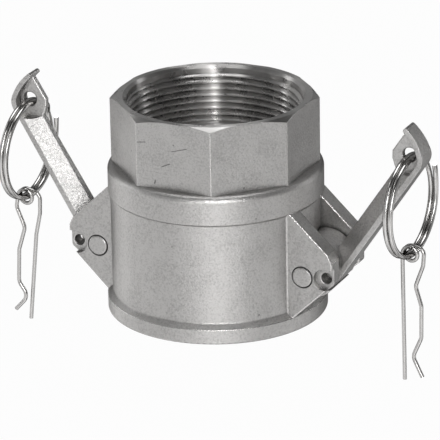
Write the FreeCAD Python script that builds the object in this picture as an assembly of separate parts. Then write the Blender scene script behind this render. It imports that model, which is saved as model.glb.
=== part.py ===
import FreeCAD, Part
import math
import os

# Cam and groove coupler, 2 inch (DN 50), female pipe thread one end and cam lever socket the other.
# Millimetres. Z runs along the pipe axis with the thread mouth up and the socket mouth at z = 0.
# The two cam levers stand along +X and -X and turn about pins that lie along Y.

V = FreeCAD.Vector
X_AXIS = V(1, 0, 0)
Y_AXIS = V(0, 1, 0)
Z_AXIS = V(0, 0, 1)
ORIGIN = V(0, 0, 0)

# Socket end, for the standard 2 inch adapter of 63.0 diameter
adapter_r = 31.5
adapter_clearance = 0.5
socket_bore_r = adapter_r + adapter_clearance
barrel_wall = 3.8
barrel_r = socket_bore_r + barrel_wall
mouth_flange_overhang = 1.8
mouth_flange_r = barrel_r + mouth_flange_overhang
mouth_flange_height = 5.2
mouth_shoulder_height = 1.7
mouth_edge_round = 0.6
mouth_shoulder_round = 0.4
barrel_foot_round = 0.8

# Seal between the adapter's end and the body
gasket_step = 1.35
gasket_outer_r = socket_bore_r + gasket_step
gasket_width = 7.95
gasket_inner_r = gasket_outer_r - gasket_width
gasket_thickness = 6.35
gasket_lip = 0.5
gasket_clearance = 0.15
gasket_seat_z = 41.2
groove_r = gasket_outer_r + gasket_clearance
groove_top_z = gasket_seat_z + gasket_thickness + gasket_clearance
flow_bore_step = 0.6
flow_bore_r = gasket_inner_r + flow_bore_step
seal_land_thickness = 4.0
thread_foot_z = groove_top_z + seal_land_thickness

# Pipe thread, G 2: 59.614 over the thread roots
thread_root_r = 29.807
thread_mouth_bevel = 0.943

# Spanner octagon round the thread
octagon_wall = 2.8
octagon_across_flats = 2 * (thread_root_r + octagon_wall)
octagon_corner_r = octagon_across_flats / 2 / math.cos(math.pi / 8)
octagon_edge_round = 0.4
octagon_top_chamfer_inset = 2.3
octagon_top_chamfer_angle = 30.0
octagon_height = 23.1

# Collar over the gasket groove, its top a ledge with a well rounded edge that the octagon stands on
collar_wall = 3.1
collar_r = groove_r + collar_wall
collar_foot_drop = 0.2
collar_foot_z = gasket_seat_z + collar_foot_drop
collar_foot_round = 0.3
collar_roof = 4.2
collar_top_z = groove_top_z + collar_roof
collar_crown_round = 2.3
ledge_rise = 0.3
octagon_foot_z = collar_top_z + ledge_rise
body_height = octagon_foot_z + octagon_height

# Lever pivot pins, pressed into the ears
pivot_stand_off = 6.0
pivot_x = socket_bore_r + pivot_stand_off
pivot_z = 20.5
pin_r = 3.55
pin_chamfer = 0.4
pin_hole_chamfer = 0.35
pin_stand_out = 0.3
lever_bore_clearance = 0.05

# Hole and sunk seat for the safety clip, through each ear
clip_hole_r = 1.85
clip_hole_chamfer = 0.25
clip_hole_reach = 8.0
clip_hole_x = pivot_x + clip_hole_reach
clip_hole_rise = 0.1
clip_hole_z = pivot_z + clip_hole_rise
clip_seat_r = 3.9
clip_seat_depth = 2.0

# Lever ears, cast in pairs on the barrel; heights are from the pivot, insets from the outer edge
lever_slot_width = 16.84
ear_thickness = 6.5
ear_edge_wall = 0.95
ear_edge_x = clip_hole_x + clip_hole_r + ear_edge_wall
ear_edge_top_rise = 6.1
ear_edge_bottom_drop = 1.9
ear_top_corner_inset = 1.5
ear_top_corner_rise = 9.2
ear_low_corner_inset = 2.6
ear_low_corner_drop = 4.1
ear_top_foot_depth = 1.9
ear_top_foot_rise = 0.9
ear_low_foot_depth = 1.1
ear_root_depth = 1.0
ear_root_x = math.sqrt(barrel_r ** 2 - (lever_slot_width / 2 + ear_thickness) ** 2) - ear_root_depth
ear_root_round = 0.8
ear_corner_round = 1.6
ear_edge_round = 0.5

# Cam levers, drawn lying along +X with the side that faces the body up, pivot at the origin
lever_side_clearance = 0.3
cam_bite = 3.7
cam_r = pivot_stand_off + cam_bite
cam_window_clearance = 0.4
cam_relief_clearance = 0.15
cam_relief_r = pivot_stand_off - cam_relief_clearance
cam_relief_sweep = 60.0
cam_edge_chamfer = 0.4
clip_notch_r = 2.0

# Handle: a flange on the outer side with a tapered rib under it
lever_length = 54.3
handle_step = 0.2
handle_outer_z = handle_step - cam_r
handle_depth = 7.1
handle_inner_z = handle_outer_z + handle_depth
handle_flange_thickness = 1.8
flange_inside_z = handle_outer_z + handle_flange_thickness
handle_foot_half_width = 5.1
handle_head_half_width = 4.2
handle_foot_x = 14.0
handle_head_x = lever_length - 7.3
rib_foot_half_width = 1.3
rib_head_half_width = 1.0
rib_edge_round = 0.6

# Head: a thin web bored for the split ring, under a hood that the flange curls into
ring_hole_x = lever_length
ring_hole_inset = 6.0
ring_hole_z = handle_outer_z + ring_hole_inset
ring_hole_r = 2.4
ring_hole_chamfer = 0.3
web_half_thickness = 1.1
web_edge_round = 0.5
head_relief_r = 6.5
head_relief_x = ring_hole_x - 0.6
head_relief_z = ring_hole_z + 0.9
head_depth = 11.5
head_inner_z = handle_outer_z + head_depth
head_inner_start_x = ring_hole_x - 2.9
head_bevel_x = ring_hole_x - 5.1
head_bevel_drop = 1.4
head_shoulder_x = ring_hole_x - 7.5
head_tip_x = ring_hole_x + 6.3
hood_bend_x = ring_hole_x - 0.5
hood_bend_r = 5.7
hood_bend_angle = 52.0
hood_tip_x = ring_hole_x + 7.9
hood_tip_z = head_inner_z - 0.2
hood_tip_thickness = 1.6
hood_tip_half_width = 3.3

# Angle of each lever above the horizontal, as photographed
right_lever_angle = 56.5
left_lever_angle = 58.2

# Split rings, two turns of round wire with a joggle between them; the outer turn's end stands off
ring_outer_r = 17.95
ring_wire_r = 0.875
ring_turn_gap = 0.05
ring_joggle_angle = 24.0
ring_end_gap_angle = 2.0
ring_splay = 1.2
ring_splay_angle = 40.0
ring_hang_clearance = 0.1

# How each ring hangs: where its ends are, then turned about the vertical, tilted outwards and
# swayed along Y
right_ring_split_angle = 38.0
right_ring_turn = 4.2
right_ring_lean = 0.0
right_ring_sway = 0.0
left_ring_split_angle = 44.0
left_ring_turn = 2.5
left_ring_lean = 2.5
left_ring_sway = 6.5

# Spring clips of round wire, coiled once round the split ring
clip_wire_r = 0.675
clip_coil_clearance = 0.12
clip_turn_gap = 0.1
clip_bend_r = 3.5
clip_coil_turns = 1.25

# How far cutting shapes run past the solid, and joined shapes run into each other
cut_margin = 1.0
join_overlap = 0.5


def prism(points, half_width):
    """Closed outline in the XZ plane, stretched to both sides along Y."""
    corners = [V(x, -half_width, z) for x, z in points]
    face = Part.Face(Part.makePolygon(corners + [corners[0]]))
    return face.extrude(V(0, 2 * half_width, 0))


def y_cylinder(radius, x, z, low_y, high_y):
    return Part.makeCylinder(radius, high_y - low_y, V(x, low_y, z), Y_AXIS)


def mouth_bevel(hole_r, bevel, x, y, z, direction):
    """Cone that bevels the mouth of a hole along Y; direction is the way out of the hole."""
    start = V(x, y + direction * cut_margin, z)
    return Part.makeCone(
        hole_r + bevel + cut_margin, hole_r, bevel + cut_margin, start, V(0, -direction, 0))


def tangent_arc(start, direction, end):
    """Arc from start to end that leaves start along direction, and its direction at end."""
    chord = end - start
    unit = V(chord).normalize()
    ahead = V(direction).normalize()
    off = ahead - unit * ahead.dot(unit)
    if off.Length < 1e-6:
        return Part.makeLine(start, end), unit
    bulge = chord.Length / 2 * math.tan(ahead.getAngle(unit) / 2)
    middle = (start + end) * 0.5 + V(off).normalize() * bulge
    leaving = unit * (2 * ahead.dot(unit)) - ahead
    return Part.Arc(start, middle, end).toShape(), leaving


def revolved(corners):
    """Solid of revolution about Z from (radius, z) corners; a third value rounds the corner."""
    places = [V(corner[0], 0, corner[1]) for corner in corners]
    entries = []
    leaves = []
    for k, corner in enumerate(corners):
        place = places[k]
        back = V(places[k - 1] - place).normalize()
        forth = V(places[(k + 1) % len(places)] - place).normalize()
        rounding = corner[2] if len(corner) == 3 else 0
        setback = rounding / math.tan(back.getAngle(forth) / 2)
        entries.append(place + back * setback)
        leaves.append(place + forth * setback)
    edges = []
    for k, place in enumerate(places):
        if leaves[k].distanceToPoint(entries[k]) > 1e-6:
            edges.append(tangent_arc(entries[k], place - entries[k], leaves[k])[0])
        edges.append(Part.makeLine(leaves[k], entries[(k + 1) % len(places)]))
    return Part.Face(Part.Wire(edges)).revolve(ORIGIN, Z_AXIS, 360)


def octagon_block():
    """Octagon with softened corners, its top corners turned off by a cone."""
    corners = []
    for k in range(8):
        angle = math.pi / 8 + k * math.pi / 4
        corners.append(V(
            octagon_corner_r * math.cos(angle), octagon_corner_r * math.sin(angle), groove_top_z))
    face = Part.Face(Part.makePolygon(corners + [corners[0]]))
    block = face.extrude(V(0, 0, body_height - groove_top_z))
    uprights = [edge for edge in block.Edges if abs(edge.tangentAt(edge.FirstParameter).z) > 0.9]
    block = block.makeFillet(octagon_edge_round, uprights)
    cone_top_r = octagon_corner_r - octagon_top_chamfer_inset
    cone_foot_r = octagon_corner_r + cut_margin
    drop = (cone_foot_r - cone_top_r) * math.tan(math.radians(octagon_top_chamfer_angle))
    return block.common(revolved([
        (0, groove_top_z - cut_margin),
        (cone_foot_r, groove_top_z - cut_margin),
        (cone_foot_r, body_height - drop),
        (cone_top_r, body_height),
        (0, body_height),
    ]))


def ear_outline():
    """Side outline of an ear of the +X pair, from its root inside the barrel's wall."""
    top_z = collar_foot_z + ear_top_foot_rise
    return [
        (ear_root_x, top_z),
        (barrel_r - ear_top_foot_depth, top_z),
        (ear_edge_x - ear_top_corner_inset, pivot_z + ear_top_corner_rise),
        (ear_edge_x, pivot_z + ear_edge_top_rise),
        (ear_edge_x, pivot_z - ear_edge_bottom_drop),
        (ear_edge_x - ear_low_corner_inset, pivot_z - ear_low_corner_drop),
        (barrel_r - ear_low_foot_depth, mouth_flange_height),
        (ear_root_x, mouth_flange_height),
    ]


def ear(low_y):
    """One ear of the +X pair, its faces at low_y and low_y plus the ear's thickness."""
    high_y = low_y + ear_thickness
    corners = [V(x, low_y, z) for x, z in ear_outline()]
    face = Part.Face(Part.makePolygon(corners + [corners[0]]))
    solid = face.extrude(V(0, ear_thickness, 0))
    corner_edges = []
    for edge in solid.Edges:
        across = abs(edge.tangentAt(edge.FirstParameter).y) > 0.9
        if across and edge.BoundBox.XMin > (barrel_r + ear_edge_x) / 2:
            corner_edges.append(edge)
    solid = solid.makeFillet(ear_corner_round, corner_edges)
    rim_edges = []
    for edge in solid.Edges:
        box = edge.BoundBox
        on_face = min(abs(box.YMin - low_y) + abs(box.YMax - low_y),
                      abs(box.YMin - high_y) + abs(box.YMax - high_y)) < 0.01
        if on_face and box.XMax > barrel_r:
            rim_edges.append(edge)
    return solid.makeFillet(ear_edge_round, rim_edges)


def eared_barrel():
    """The barrel's wall over the ears' height, with the four ears grown out of it."""
    low_z = mouth_flange_height
    high_z = collar_foot_z + ear_top_foot_rise
    solid = Part.makeCylinder(barrel_r, high_z - low_z, V(0, 0, low_z))
    outer_y = lever_slot_width / 2 + ear_thickness
    ears = []
    for low_y in (lever_slot_width / 2, -outer_y):
        right_ear = ear(low_y)
        ears.append(right_ear)
        ears.append(right_ear.mirror(ORIGIN, X_AXIS))
    solid = solid.fuse(ears).removeSplitter()
    roots = []
    for edge in solid.Edges:
        middle = edge.valueAt((edge.FirstParameter + edge.LastParameter) / 2)
        upright = edge.Length > (high_z - low_z) / 2 and edge.BoundBox.XLength < 0.01
        if upright and abs(abs(middle.y) - outer_y) < 0.01:
            roots.append(edge)
    return solid.makeFillet(ear_root_round, roots)


def clip_seat(outer_y, direction):
    """Sunk flat round the clip hole, open towards the ear's outer edge."""
    depth = clip_seat_depth + cut_margin
    low_y = outer_y - clip_seat_depth if direction > 0 else outer_y - cut_margin
    round_end = y_cylinder(clip_seat_r, clip_hole_x, clip_hole_z, low_y, low_y + depth)
    run = ear_edge_x + cut_margin - clip_hole_x
    slot = Part.makeBox(run, depth, 2 * clip_seat_r, V(clip_hole_x, low_y, clip_hole_z - clip_seat_r))
    return round_end.fuse(slot)


def coupler_body():
    collar_step = collar_r - barrel_r
    outer = revolved([
        (0, 0),
        (mouth_flange_r, 0, mouth_edge_round),
        (mouth_flange_r, mouth_flange_height, mouth_shoulder_round),
        (barrel_r, mouth_flange_height + mouth_shoulder_height, barrel_foot_round),
        (barrel_r, collar_foot_z, collar_foot_round),
        (collar_r, collar_foot_z + collar_step, collar_foot_round),
        (collar_r, collar_top_z, collar_crown_round),
        (octagon_across_flats / 2, octagon_foot_z),
        (0, octagon_foot_z),
    ])
    solid = outer.fuse([octagon_block(), eared_barrel()])
    inside = revolved([
        (0, -cut_margin),
        (socket_bore_r, -cut_margin),
        (socket_bore_r, gasket_seat_z),
        (groove_r, gasket_seat_z),
        (groove_r, groove_top_z),
        (flow_bore_r, groove_top_z),
        (flow_bore_r, thread_foot_z),
        (thread_root_r, thread_foot_z),
        (thread_root_r, body_height - thread_mouth_bevel),
        (thread_root_r + thread_mouth_bevel, body_height),
        (thread_root_r + thread_mouth_bevel, body_height + cut_margin),
        (0, body_height + cut_margin),
    ])
    solid = solid.cut(inside)

    half_slot = lever_slot_width / 2
    outer_y = half_slot + ear_thickness
    through_y = outer_y + cut_margin
    cuts = []
    for side in (1, -1):
        window_r = cam_r + cam_window_clearance
        cuts.append(y_cylinder(window_r, side * pivot_x, pivot_z, -half_slot, half_slot))
        cuts.append(y_cylinder(pin_r, side * pivot_x, pivot_z, -through_y, through_y))
        cuts.append(y_cylinder(clip_hole_r, side * clip_hole_x, clip_hole_z, -through_y, through_y))
        for direction in (1, -1):
            cuts.append(mouth_bevel(
                pin_r, pin_hole_chamfer, side * pivot_x, direction * outer_y, pivot_z, direction))
            seat_y = direction * (outer_y - clip_seat_depth)
            cuts.append(mouth_bevel(
                clip_hole_r, clip_hole_chamfer, side * clip_hole_x, seat_y, clip_hole_z, direction))
            seat = clip_seat(direction * outer_y, direction)
            cuts.append(seat if side > 0 else seat.mirror(ORIGIN, X_AXIS))
    return solid.cut(cuts).removeSplitter()


def gasket():
    low = gasket_seat_z + gasket_clearance / 2
    high = low + gasket_thickness
    return revolved([
        (gasket_inner_r, low, gasket_lip),
        (gasket_outer_r, low, gasket_lip),
        (gasket_outer_r, high, gasket_lip),
        (gasket_inner_r, high, gasket_lip),
    ])


def pivot_pin(side):
    half_length = lever_slot_width / 2 + ear_thickness + pin_stand_out
    pin = y_cylinder(pin_r, side * pivot_x, pivot_z, -half_length, half_length)
    return pin.makeChamfer(pin_chamfer, [edge for edge in pin.Edges if edge.Length > 6 * pin_r
                                         and len(edge.Vertexes) == 1])


def lever_rib():
    """Tapered rib under the flange: narrow towards the body, as wide as the flange outside."""
    sections = []
    for x, inner, outer in (
            (0.0, rib_foot_half_width, handle_foot_half_width),
            (handle_foot_x, rib_foot_half_width, handle_foot_half_width),
            (handle_head_x, rib_head_half_width, handle_head_half_width),
            (head_relief_x, rib_head_half_width, handle_head_half_width)):
        corners = [
            V(x, -inner, handle_inner_z),
            V(x, inner, handle_inner_z),
            V(x, outer, flange_inside_z),
            V(x, outer, flange_inside_z - join_overlap),
            V(x, -outer, flange_inside_z - join_overlap),
            V(x, -outer, flange_inside_z),
        ]
        sections.append(Part.makePolygon(corners + [corners[0]]))
    rib = Part.makeLoft(sections, True, True)
    inner_edges = []
    for edge in rib.Edges:
        box = edge.BoundBox
        if box.ZMin > handle_inner_z - 0.01 and box.XLength > 1:
            inner_edges.append(edge)
    rib = rib.makeFillet(rib_edge_round, inner_edges)
    reach = handle_foot_half_width + cut_margin
    for low_y, high_y in ((web_half_thickness, reach), (-reach, -web_half_thickness)):
        rib = rib.cut(y_cylinder(head_relief_r, head_relief_x, head_relief_z, low_y, high_y))
    return rib


def hood_profile():
    """Side outline of the flange, straight along the handle and curled over the head as a hood."""
    turn = math.radians(hood_bend_angle)
    heading = V(math.cos(turn), 0, math.sin(turn))
    tip_outer = V(hood_tip_x, 0, hood_tip_z)

    def on_bend(radius, angle):
        bend_centre_z = handle_outer_z + hood_bend_r
        return V(hood_bend_x + radius * math.sin(angle), 0, bend_centre_z - radius * math.cos(angle))

    def bend(radius, start, stop):
        middle = on_bend(radius, turn / 2)
        return Part.Arc(on_bend(radius, start), middle, on_bend(radius, stop)).toShape()

    inner_r = hood_bend_r - handle_flange_thickness
    outer_hood, tip_heading = tangent_arc(on_bend(hood_bend_r, turn), heading, tip_outer)
    tip_across = V(-tip_heading.z, 0, tip_heading.x)
    tip_inner = tip_outer + tip_across * hood_tip_thickness
    inner_hood, inner_heading = tangent_arc(on_bend(inner_r, turn), heading, tip_inner)
    tip_middle = (tip_outer + tip_inner) * 0.5 + tip_heading * (hood_tip_thickness / 2)
    return Part.Wire([
        Part.makeLine(V(0, 0, handle_outer_z), on_bend(hood_bend_r, 0)),
        bend(hood_bend_r, 0, turn),
        outer_hood,
        Part.Arc(tip_outer, tip_middle, tip_inner).toShape(),
        inner_hood,
        bend(inner_r, turn, 0),
        Part.makeLine(on_bend(inner_r, 0), V(0, 0, flange_inside_z)),
        Part.makeLine(V(0, 0, flange_inside_z), V(0, 0, handle_outer_z)),
    ])


def lever_flange():
    half_width = handle_foot_half_width
    face = Part.Face(hood_profile())
    face.translate(V(0, -half_width, 0))
    band = face.extrude(V(0, 2 * half_width, 0))
    low_z = handle_outer_z - cut_margin
    plan = [
        (-cut_margin, handle_foot_half_width),
        (handle_foot_x, handle_foot_half_width),
        (handle_head_x, handle_head_half_width),
        (hood_bend_x + hood_bend_r / 2, handle_head_half_width),
        (hood_tip_x + cut_margin, hood_tip_half_width),
    ]
    corners = [V(x, -y, low_z) for x, y in plan]
    corners += [V(x, y, low_z) for x, y in reversed(plan)]
    outline = Part.Face(Part.makePolygon(corners + [corners[0]]))
    return band.common(outline.extrude(V(0, 0, hood_tip_z + 2 * cut_margin - low_z)))


def lever_web():
    """Thin head plate between the rib and the hood, its free edge rounded."""
    inside_z = flange_inside_z - join_overlap
    root_x = head_shoulder_x - head_relief_r / 2
    web = prism([
        (root_x, inside_z),
        (hood_bend_x, inside_z),
        (hood_bend_x + hood_bend_r * 0.6, inside_z + hood_bend_r * 0.4),
        (head_tip_x + join_overlap, head_inner_z - join_overlap),
        (head_tip_x, head_inner_z),
        (head_inner_start_x, head_inner_z),
        (head_bevel_x, head_inner_z - head_bevel_drop),
        (head_shoulder_x, handle_inner_z),
        (root_x, handle_inner_z),
    ], web_half_thickness)
    free_edges = []
    for edge in web.Edges:
        box = edge.BoundBox
        along = box.YLength < 0.01 and box.ZMax > handle_inner_z + 0.1
        if along and head_shoulder_x - 0.1 < box.XMin and box.XMax < head_tip_x + 0.1:
            free_edges.append(edge)
    return web.makeFillet(web_edge_round, free_edges)


def cam_hub(half_width):
    """Round hub with one side cut back, so that the socket is clear until the lever nears closed."""
    lift = math.acos(cam_relief_r / cam_r)
    sweep = math.radians(cam_relief_sweep)

    def on_hub(radius, angle):
        return V(-radius * math.cos(angle), -half_width, radius * math.sin(angle))

    low_corner = on_hub(cam_r, -lift)
    high_corner = on_hub(cam_r, sweep + lift)
    relief_start = on_hub(cam_relief_r, 0)
    relief_end = on_hub(cam_relief_r, sweep)
    profile = Part.Wire([
        Part.makeLine(low_corner, relief_start),
        Part.Arc(relief_start, on_hub(cam_relief_r, sweep / 2), relief_end).toShape(),
        Part.makeLine(relief_end, high_corner),
        Part.Arc(high_corner, on_hub(cam_r, math.pi + sweep / 2), low_corner).toShape(),
    ])
    hub = Part.Face(profile).extrude(V(0, 2 * half_width, 0))
    rims = []
    for edge in hub.Edges:
        if edge.BoundBox.YLength < 0.01 and edge.Length > 3 * cam_r:
            rims.append(edge)
    return hub.makeChamfer(cam_edge_chamfer, rims)


def cam_lever(angle, side):
    """One lever, turned up to its angle about the pin and set on its side of the body."""
    half_width = lever_slot_width / 2 - lever_side_clearance
    through_y = half_width + cut_margin
    hub = cam_hub(half_width)
    lever = hub.fuse([lever_rib(), lever_flange(), lever_web()])
    bore = y_cylinder(pin_r + lever_bore_clearance, 0, 0, -through_y, through_y)
    notch_x = clip_hole_z - pivot_z
    notch_z = pivot_x - clip_hole_x
    notch = y_cylinder(clip_notch_r, notch_x, notch_z, -through_y, through_y)
    ring_hole = [y_cylinder(ring_hole_r, ring_hole_x, ring_hole_z, -through_y, through_y)]
    for direction in (1, -1):
        face_y = direction * web_half_thickness
        ring_hole.append(mouth_bevel(
            ring_hole_r, ring_hole_chamfer, ring_hole_x, face_y, ring_hole_z, direction))
    lever = lever.cut([bore, notch] + ring_hole).removeSplitter()
    lever.rotate(ORIGIN, Y_AXIS, -angle)
    lever.translate(V(pivot_x, 0, pivot_z))
    if side < 0:
        lever = lever.mirror(ORIGIN, X_AXIS)
    return lever


def ring_hole_place(angle, side):
    """Centre of the lever's ring hole, with the lever at its angle."""
    turn = math.radians(angle)
    x = pivot_x + ring_hole_x * math.cos(turn) - ring_hole_z * math.sin(turn)
    z = pivot_z + ring_hole_x * math.sin(turn) + ring_hole_z * math.cos(turn)
    return V(side * x, 0, z)


def wire_sweep(edges, radius):
    """Round wire along a chain of edges."""
    path = Part.Wire(edges)
    first = path.OrderedEdges[0]
    start = first.valueAt(first.FirstParameter)
    ahead = first.tangentAt(first.FirstParameter)
    if first.Orientation == "Reversed":
        start = first.valueAt(first.LastParameter)
        ahead = first.tangentAt(first.LastParameter) * -1
    section = Part.Wire([Part.makeCircle(radius, start, ahead)])
    return path.makePipeShell([section], True, False)


def hang(shape, turn, lean, sway):
    """Turn a hanging piece about the vertical, tilt it outwards and sway it along Y."""
    shape.rotate(ORIGIN, Z_AXIS, -turn)
    shape.rotate(ORIGIN, X_AXIS, -sway)
    shape.rotate(ORIGIN, Y_AXIS, lean)


def ring_drop():
    """How far the double wire lies below the centre of the hole that it hangs in."""
    layer = ring_wire_r + ring_turn_gap / 2
    reach = ring_hole_r - ring_wire_r - ring_hang_clearance
    return math.sqrt(reach ** 2 - layer ** 2)


def split_ring(hole, split_angle, turn, lean, sway):
    """Double ring drawn about the origin in the YZ plane, then hung in the lever's hole."""
    mean_r = ring_outer_r - ring_wire_r
    layer = ring_wire_r + ring_turn_gap / 2

    def on_ring(degrees, offset):
        angle = math.radians(degrees)
        return V(offset, mean_r * math.sin(angle), mean_r * math.cos(angle))

    joggle = ring_joggle_angle / 2
    first_end = split_angle + joggle + ring_end_gap_angle
    first_stop = split_angle + 360 - joggle
    second_start = split_angle + 360 + joggle
    second_end = split_angle + 720 - joggle - ring_end_gap_angle
    splay_start = first_end + ring_splay_angle
    edges = []
    for start, stop, offset in ((splay_start, first_stop, layer), (second_start, second_end, -layer)):
        half = (start + stop) / 2
        for low, high in ((start, half), (half, stop)):
            arc = Part.Arc(on_ring(low, offset), on_ring((low + high) / 2, offset), on_ring(high, offset))
            edges.append(arc.toShape())
    angle = math.radians(splay_start)
    heading = V(0, -math.cos(angle), math.sin(angle))
    free_end = on_ring(first_end, layer + ring_splay)
    splayed, heading = tangent_arc(on_ring(splay_start, layer), heading, free_end)
    before = on_ring(first_stop, layer)
    middle = on_ring(split_angle + 360, 0)
    after = on_ring(second_start, -layer)
    angle = math.radians(first_stop)
    heading = V(0, math.cos(angle), -math.sin(angle))
    rise, heading = tangent_arc(before, heading, middle)
    settle, heading = tangent_arc(middle, heading, after)
    edges[2:2] = [rise, settle]
    ring = wire_sweep([splayed] + edges, ring_wire_r)
    ring.translate(V(0, 0, -mean_r - ring_drop()))
    hang(ring, turn, lean, sway)
    ring.translate(hole)
    return ring


def rounded_run(points, bend_r):
    """Straight runs through the points, joined by arcs of bend_r or less that touch both runs."""
    edges = []
    cursor = points[0]
    for k in range(1, len(points) - 1):
        corner = points[k]
        back = (points[k - 1] - corner)
        forth = (points[k + 1] - corner)
        half_turn = (math.pi - back.getAngle(forth)) / 2
        setback = bend_r * math.tan(half_turn)
        setback = min(setback, 0.45 * back.Length, 0.45 * forth.Length)
        entry = corner + V(back).normalize() * setback
        leave = corner + V(forth).normalize() * setback
        edges.append(Part.makeLine(cursor, entry))
        arc, heading = tangent_arc(entry, corner - entry, leave)
        edges.append(arc)
        cursor = leave
    edges.append(Part.makeLine(cursor, points[-1]))
    return edges


def retaining_clip(coil_centre, turn, side_leg, top_leg):
    """Clip about the origin: one leg leaves the coil at its -X side, the other over its top."""
    ring_pair_r = 2 * ring_wire_r + ring_turn_gap / 2
    coil_r = ring_pair_r + clip_coil_clearance + clip_wire_r
    pitch = 2 * clip_wire_r + clip_turn_gap
    start_y = -clip_coil_turns * pitch / 2

    def on_coil(quarter):
        angle = math.radians(180 - 90 * quarter)
        return V(coil_r * math.cos(angle), start_y + pitch * quarter / 4, coil_r * math.sin(angle))

    side_points = [V(x, start_y, z) for x, z in side_leg]
    edges = rounded_run(list(reversed([on_coil(0)] + side_points)), clip_bend_r)
    heading = V(0, 0, 1)
    for quarter in range(5):
        arc, heading = tangent_arc(on_coil(quarter), heading, on_coil(quarter + 1))
        edges.append(arc)
    top = on_coil(5)
    top_points = [V(x, top.y, z) for x, z in top_leg]
    edges += rounded_run([top] + top_points, clip_bend_r)
    clip = wire_sweep(edges, clip_wire_r)
    clip.rotate(ORIGIN, Z_AXIS, -turn)
    clip.translate(coil_centre)
    return clip


def coil_place(hole, lean, sway):
    """Where the clip's coil sits on the lowest point of its split ring."""
    reach = 2 * (ring_outer_r - ring_wire_r) + ring_drop()
    low = Part.Vertex(V(0, 0, -reach))
    hang(low, 0, lean, sway)
    return hole + low.Point


# Legs of the clips from the coil down, as (x, z) from the coil's centre
straight_side_leg = [(-1.6, -45.4)]
wavy_top_leg = [(4.6, 1.8), (4.2, -4.0), (1.4, -11.8), (3.6, -18.6), (3.6, -30.2), (0.5, -37.4), (4.1, -44.3)]
wavy_side_leg = [(-3.4, -4.0), (-0.3, -11.4), (-3.0, -20.0), (-3.6, -32.2), (0.0, -37.2), (-5.1, -42.8)]
straight_top_leg = [(5.2, 1.4), (4.9, -6.0), (3.1, -14.0), (-0.3, -46.2)]

parts = {"coupler_body": coupler_body(), "gasket": gasket()}
for name, side, angle, split_angle, turn, lean, sway, side_leg, top_leg in (
        ("right", 1, right_lever_angle, right_ring_split_angle, right_ring_turn, -right_ring_lean,
         right_ring_sway, straight_side_leg, wavy_top_leg),
        ("left", -1, left_lever_angle, left_ring_split_angle, left_ring_turn, left_ring_lean,
         left_ring_sway, wavy_side_leg, straight_top_leg)):
    hole = ring_hole_place(angle, side)
    coil_centre = coil_place(hole, lean, sway)
    parts[name + "_pivot_pin"] = pivot_pin(side)
    parts[name + "_cam_lever"] = cam_lever(angle, side)
    parts[name + "_split_ring"] = split_ring(hole, split_angle, turn, lean, sway)
    parts[name + "_retaining_clip"] = retaining_clip(coil_centre, turn, side_leg, top_leg)
    print(name, "ring hole", hole, "coil", coil_centre)

os.makedirs("parts", exist_ok=True)
for node, shape in parts.items():
    shape.exportStep("parts/" + node + ".step")
    box = shape.BoundBox
    print(node, "solids", len(shape.Solids), "valid", shape.isValid(), "volume", round(shape.Volume, 1),
          "x %.1f..%.1f y %.1f..%.1f z %.1f..%.1f" % (
              box.XMin, box.XMax, box.YMin, box.YMax, box.ZMin, box.ZMax))
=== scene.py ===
import math

import bmesh
import bpy
from mathutils import Matrix, Vector


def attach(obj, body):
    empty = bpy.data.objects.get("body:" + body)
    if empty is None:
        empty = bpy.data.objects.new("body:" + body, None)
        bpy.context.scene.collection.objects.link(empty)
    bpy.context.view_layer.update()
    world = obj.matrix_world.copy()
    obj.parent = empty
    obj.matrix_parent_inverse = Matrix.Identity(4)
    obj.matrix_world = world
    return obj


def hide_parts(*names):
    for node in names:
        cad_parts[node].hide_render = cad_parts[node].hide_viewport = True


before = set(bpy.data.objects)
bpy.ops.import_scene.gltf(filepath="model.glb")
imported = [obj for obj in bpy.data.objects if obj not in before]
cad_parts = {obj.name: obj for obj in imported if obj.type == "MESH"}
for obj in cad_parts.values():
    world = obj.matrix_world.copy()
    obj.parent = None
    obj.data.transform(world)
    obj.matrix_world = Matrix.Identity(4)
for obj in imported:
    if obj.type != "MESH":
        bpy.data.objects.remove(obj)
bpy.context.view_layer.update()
scene = bpy.context.scene
scene.view_settings.view_transform = "Standard"
MM = 0.001


# Coupler body: an investment casting in stainless steel, blasted to an even satin. Barrel, collar,
# octagon and lever ears are one piece; the socket, the thread and the top rim are turned afterwards.


def shader(name):
    """A new material, with its node tree and its surface shader."""
    material = bpy.data.materials.new(name)
    material.use_nodes = True
    tree = material.node_tree
    return material, tree, tree.nodes["Principled BSDF"]


def add_node(tree, kind, settings=None, inputs=None):
    """A new node; an input is a plain value or the socket that feeds it."""
    node = tree.nodes.new(kind)
    for key, value in (settings or {}).items():
        setattr(node, key, value)
    for key, value in (inputs or {}).items():
        if hasattr(value, "is_linked"):
            tree.links.new(value, node.inputs[key])
        else:
            node.inputs[key].default_value = value
    return node


def maths(tree, operation, first, second=0.0, third=None):
    inputs = {0: first, 1: second}
    if third is not None:
        inputs[2] = third
    return add_node(tree, "ShaderNodeMath", {"operation": operation}, inputs).outputs[0]


def times(tree, first, second):
    return maths(tree, "MULTIPLY", first, second)


def vector_maths(tree, operation, first, second):
    """The number that a vector operation gives, such as a distance or a dot product."""
    node = add_node(tree, "ShaderNodeVectorMath", {"operation": operation}, {0: first, 1: second})
    return node.outputs["Value"]


def spread(tree, value, low, high, start=0.0, end=1.0):
    """A number from start..end carried to low..high."""
    node = add_node(tree, "ShaderNodeMapRange", {}, {
        "Value": value, "From Min": start, "From Max": end, "To Min": low, "To Max": high})
    return node.outputs["Result"]


def noise_on(tree, where, scale, detail=3.0, roughness=0.55):
    node = add_node(tree, "ShaderNodeTexNoise", {}, {
        "Vector": where, "Scale": scale, "Detail": detail, "Roughness": roughness})
    return node.outputs["Fac"]


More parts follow.
